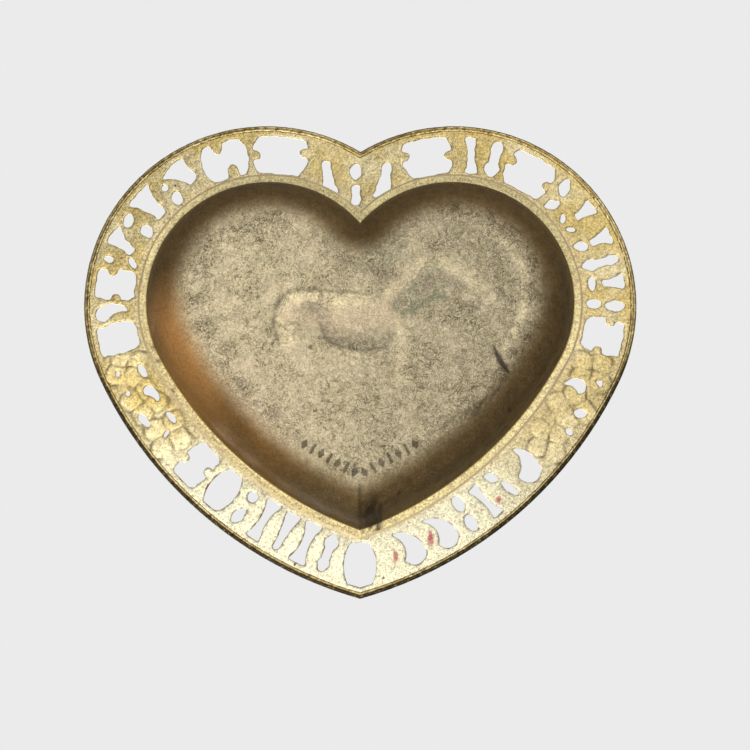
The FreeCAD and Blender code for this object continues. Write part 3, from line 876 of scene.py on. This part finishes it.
# ---- bead round the outer edge, rubbed and dented, with painted shade where it meets the plate and along its groove line
beadSettings = {
    "voxel": 0.2, "softening": 3, "dent": 0.05, "nick": 0.08,
    "lineInset": 0.72, "lineWidth": 0.18, "lineDepth": 0.1,
    # finish
    "grain": 0.8, "patch": 7.0, "metal": 0.95, "relief": 0.08,
    "gold": (0.55, 0.40, 0.15, 1), "goldWorn": (0.80, 0.64, 0.30, 1), "bright": (0.98, 0.86, 0.52, 1),
    # the groove colour is painted shade, and also darkens the grain
    "grooveShade": (0.06, 0.04, 0.015, 1), "worn": (0.028, 0.021, 0.012, 1),
}


def makeBead(s):
    piece = softenedCopy("edge_bead", "edgeBead", s)
    mesh = piece.data
    points = getPoints(mesh)
    x, y, z = points.T
    inset = alongAndInset(rimHeart, x, y)[1]
    low = smoothStep(10.0, -12.0, y)
    line = np.exp(-((inset - s["lineInset"]) / s["lineWidth"]) ** 2)
    nicks = np.clip(waves(x, y, 1.5, 22), 0, 1)
    middle = (z.min() + z.max()) / 2
    points[:, 2] += np.sign(middle - z) * (s["lineDepth"] * line + s["nick"] * nicks)
    points[:, 2] += s["dent"] * waves(x, y, 3.0, 21)
    setPoints(mesh, points)
    # painted shade along the groove line and where the bead meets the plate
    setMask(mesh, "grooveShade", np.maximum(smoothStep(1.12, 1.3, inset), 0.9 * line))
    setMask(mesh, "outerWear", smoothStep(0.34 + 0.6 * low, 0.18 + 0.6 * low, inset) * (0.7 + 0.3 * low))
    selectOnly(piece)
    bpy.ops.object.shade_smooth()
    return piece


def beadMaterial(s):
    material, t, shader, where = newMaterial("wornBead")
    grain = placeGroup(t, castGrain, where, Grain_Size=s["grain"])
    patch = placeGroup(t, mottle, where, Patch_Size=s["patch"])
    color = t.mix(patch["Patches"], s["gold"], s["goldWorn"])
    color = t.times(color, t.ramp(grain["Height"], 0.36, 0.64, 0.6, 1.3))
    color = t.mix(t.product(grain["Bright"], 0.5), color, s["bright"])
    color = t.mix(t.product(grain["Dark"], 0.6), color, s["grooveShade"])
    # painted shade in the groove
    color = t.mix(t.product(t.mask("grooveShade"), 0.92), color, s["grooveShade"])
    worn = t.product(t.mask("outerWear"), t.ramp(grain["Height"], 0.66, 0.52, 0.55, 1.0))
    color = t.mix(t.product(worn, 0.96), color, s["worn"])
    t.put(color, shader.inputs["Base Color"])
    shader.inputs["Metallic"].default_value = s["metal"]
    rough = t.ramp(grain["Height"], 0.3, 0.7, 0.28, 0.5)
    t.put(t.product(rough, t.ramp(worn, 0, 1, 1.0, 1.4)), shader.inputs["Roughness"])
    addBump(t, shader, grain["Height"], s["relief"])
    return material


bead = makeBead(beadSettings)
settle(bead, "edge_bead", beadMaterial(beadSettings))
print("bead made:", len(bead.data.polygons), "faces")


# ---- solder round the flange, and the enamel on the front of the lower run
solderSettings = {
    "grain": 0.5, "metal": 0.8, "roughness": 0.5, "relief": 0.1,
    "tin": (0.86, 0.70, 0.42, 1), "bright": (1.0, 0.93, 0.70, 1), "dark": (0.34, 0.24, 0.12, 1),
}
enamelSettings = {
    "grain": 1.2, "patch": 5.0, "relief": 0.03,
    "deep": (0.22, 0.008, 0.018, 1), "red": (0.33, 0.014, 0.03, 1), "gilt": (0.72, 0.56, 0.26, 1),
}


def solderMaterial(s):
    material, t, shader, where = newMaterial("roughSolder")
    grain = placeGroup(t, castGrain, where, Grain_Size=s["grain"])
    color = t.mix(grain["Bright"], s["tin"], s["bright"])
    color = t.mix(t.product(grain["Dark"], 0.6), color, s["dark"])
    t.put(color, shader.inputs["Base Color"])
    shader.inputs["Metallic"].default_value = s["metal"]
    shader.inputs["Roughness"].default_value = s["roughness"]
    addBump(t, shader, grain["Height"], s["relief"])
    return material


def enamelMaterial(s):
    material, t, shader, where = newMaterial("wornRedEnamel")
    grain = placeGroup(t, castGrain, where, Grain_Size=s["grain"])
    patch = placeGroup(t, mottle, where, Patch_Size=s["patch"])
    worn = t.product(t.ramp(patch["Patches"], 0.1, 0.9, 0.35, 1.0), t.ramp(grain["Height"], 0.52, 0.6))
    color = t.mix(worn, t.mix(patch["Patches"], s["deep"], s["red"]), s["gilt"])
    t.put(color, shader.inputs["Base Color"])
    t.put(t.ramp(worn, 0, 1, 0.0, 0.8), shader.inputs["Metallic"])
    t.put(t.ramp(grain["Height"], 0.3, 0.7, 0.2, 0.4), shader.inputs["Roughness"])
    addBump(t, shader, grain["Height"], s["relief"])
    return material


finishes = {"solder_seam": solderMaterial(solderSettings), "red_enamel": enamelMaterial(enamelSettings)}
for node, material in finishes.items():
    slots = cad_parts[node].data.materials
    slots.clear()
    slots.append(material)
print("solder and enamel given their finishes")


# ---- floor: pale from above, clear from below so that the dish's back can be seen through it
floorSettings = {"size": 3.0, "color": (0.78, 0.78, 0.77, 1)}


def addFloor(s):
    bpy.ops.mesh.primitive_plane_add(size=s["size"], location=(0, 0, cadLow.z))
    floor = bpy.context.object
    floor.name = "paleFloor"
    material, t, shader, _ = newMaterial("paleFloor")
    shader.inputs["Base Color"].default_value = s["color"]
    shader.inputs["Roughness"].default_value = 0.9
    clear = t.add("ShaderNodeBsdfTransparent").outputs[0]
    back = t.add("ShaderNodeNewGeometry").outputs["Backfacing"]
    both = t.add("ShaderNodeMixShader", {0: back, 1: shader.outputs[0], 2: clear}).outputs[0]
    t.put(both, material.node_tree.nodes["Material Output"].inputs["Surface"])
    floor.data.materials.append(material)
    for ray in ("diffuse", "glossy", "transmission", "volume_scatter", "shadow"):
        setattr(floor, "visible_" + ray, False)


addFloor(floorSettings)
print("floor placed")
